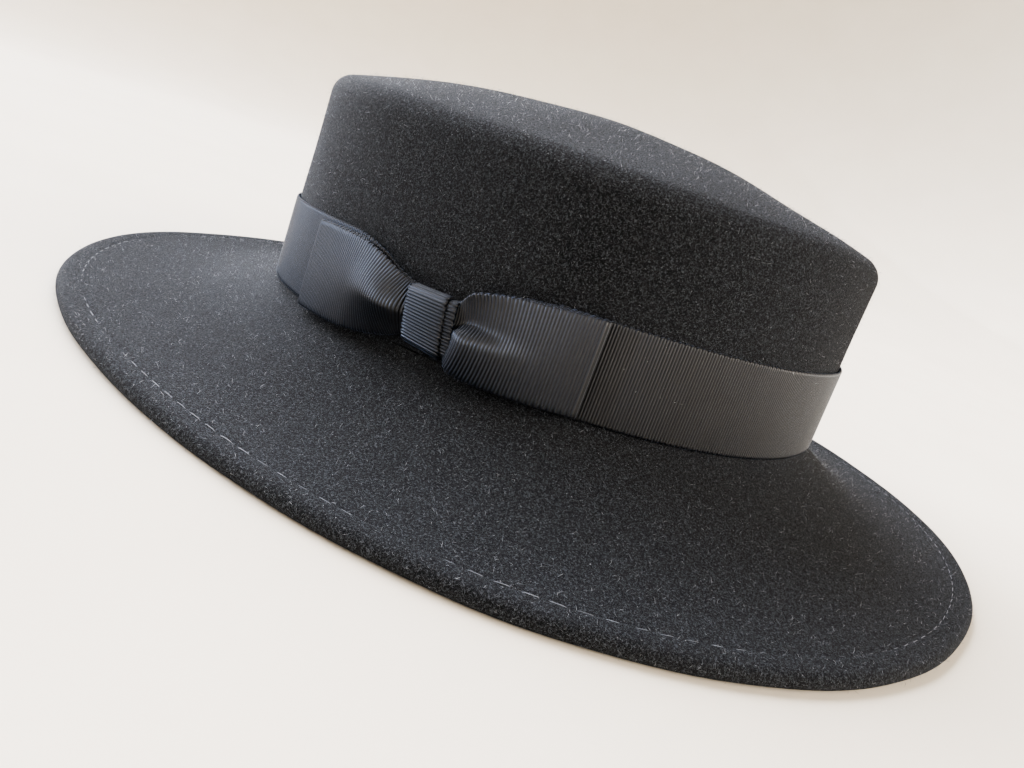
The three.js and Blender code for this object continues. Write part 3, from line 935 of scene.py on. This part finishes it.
# Backdrop paper: uncoated and matt, with a faint cloudiness some centimetres across.
paper_cloud_size = 80.0
paper_dark = linear("#c2bbae")
paper_pale = linear("#c9c3b7")
backdrop_paper = empty_material("backdrop_paper")
tree = backdrop_paper.node_tree
place = add_node(tree, "ShaderNodeTexCoord").outputs["Object"]
cloud = add_node(tree, "ShaderNodeTexNoise", links={"Vector": place},
                 values={"Scale": 1 / (paper_cloud_size * millimetre), "Detail": 3.0}).outputs["Fac"]
paper_colour = add_node(
    tree, "ShaderNodeMix", data_type="RGBA", links={0: cloud},
    values={6: paper_dark, 7: paper_pale}).outputs[2]
paper_surface = add_node(tree, "ShaderNodeBsdfPrincipled", links={"Base Color": paper_colour},
                         values={"Roughness": 0.9, "Specular IOR Level": 0.2})
add_node(tree, "ShaderNodeOutputMaterial", links={"Surface": paper_surface.outputs["BSDF"]})
paper_mesh = bpy.data.meshes.new("backdrop")
paper_mesh.from_pydata(paper_points.tolist(), [], paper_faces)
paper_mesh.shade_smooth()
paper_mesh.materials.append(backdrop_paper)
backdrop = bpy.data.objects.new("backdrop", paper_mesh)
bpy.context.scene.collection.objects.link(backdrop)
backdrop.visible_shadow = False


# Studio light. A large, faintly cool light from the hat's front, which is the left of the picture, a
# weak warm one from its back, and an even light from all round. Two narrow lamps, one on each side
# of the camera, are linked to the ribbon alone and draw the shine along its ribs.
hat_middle = np.array([0.0, 0.0, 0.05])
even_light_strength = 0.06
ribbon_pieces = bpy.data.collections.new("ribbon_pieces")
for name in ("band_grosgrain", "bow_front_grosgrain", "bow_back_grosgrain", "knot_grosgrain"):
    ribbon_pieces.objects.link(bpy.data.objects[name])


def hang_lamp(name, kind, spot, strength, colour):
    """Hangs a lamp at a spot and turns it towards the hat."""
    lamp_data = bpy.data.lights.new(name, kind)
    lamp_data.energy = strength
    lamp_data.color = linear(colour)[:3]
    lamp = bpy.data.objects.new(name, lamp_data)
    back = unit(np.array(spot) - hat_middle)
    right = unit(np.cross([0, 0, 1.0], back))
    upward = np.cross(back, right)
    lamp.matrix_world = Matrix(
        [[right[i], upward[i], back[i], spot[i]] for i in range(3)] + [[0, 0, 0, 1]])
    lamp.visible_camera = False
    bpy.context.scene.collection.objects.link(lamp)
    return lamp


for name, spot, spread, strength, colour in (
    ("cool_light", (-0.10, -1.30, 0.85), 75.0, 18.0, "#eceffa"),
    ("warm_light", (-0.30, 1.05, 0.80), 50.0, 2.2, "#ffecd8"),
):
    lamp = hang_lamp(name, "SUN", spot, strength, colour)
    lamp.data.angle = np.radians(spread)
for name, spot, width, height, strength, colour in (
    ("strip_lamp", (0.90, -0.62, 0.20), 0.2, 0.34, 16.0, "#c2d6fb"),
    ("low_lamp", (-0.50, 1.10, 0.20), 0.3, 0.24, 10.0, "#fbf6f0"),
):
    lamp = hang_lamp(name, "AREA", spot, strength, colour)
    lamp.data.shape = "RECTANGLE"
    lamp.data.size = width
    lamp.data.size_y = height
    lamp.light_linking.receiver_collection = ribbon_pieces
world = bpy.data.worlds.new("even_light")
world.use_nodes = True
sky = world.node_tree.nodes["Background"]
sky.inputs["Color"].default_value = linear("#d8e4f8")
sky.inputs["Strength"].default_value = even_light_strength
bpy.context.scene.world = world
bpy.context.scene.view_settings.look = "AgX - High Contrast"


# Camera. Close to the brim on the hat's left and behind, above the floor, rolled as the picture is.
camera_spot = (0.23294, 0.15014, 0.07765)
camera_heading = np.radians(-146.49)
camera_pitch = np.radians(-15.54)
camera_roll = np.radians(19.73)
camera_data = bpy.data.cameras.new("camera")
camera_data.sensor_width = 36.0
camera_data.lens = 27.57
camera_data.clip_start = 0.01
look = np.array([np.cos(camera_pitch) * np.cos(camera_heading),
                 np.cos(camera_pitch) * np.sin(camera_heading), np.sin(camera_pitch)])
level_right = unit(np.cross(look, [0, 0, 1.0]))
level_up = np.cross(level_right, look)
right = level_right * np.cos(camera_roll) + level_up * np.sin(camera_roll)
upward = level_up * np.cos(camera_roll) - level_right * np.sin(camera_roll)
camera = bpy.data.objects.new("camera", camera_data)
camera.matrix_world = Matrix(
    [[right[i], upward[i], -look[i], camera_spot[i]] for i in range(3)] + [[0, 0, 0, 1]])
bpy.context.scene.collection.objects.link(camera)
bpy.context.scene.camera = camera
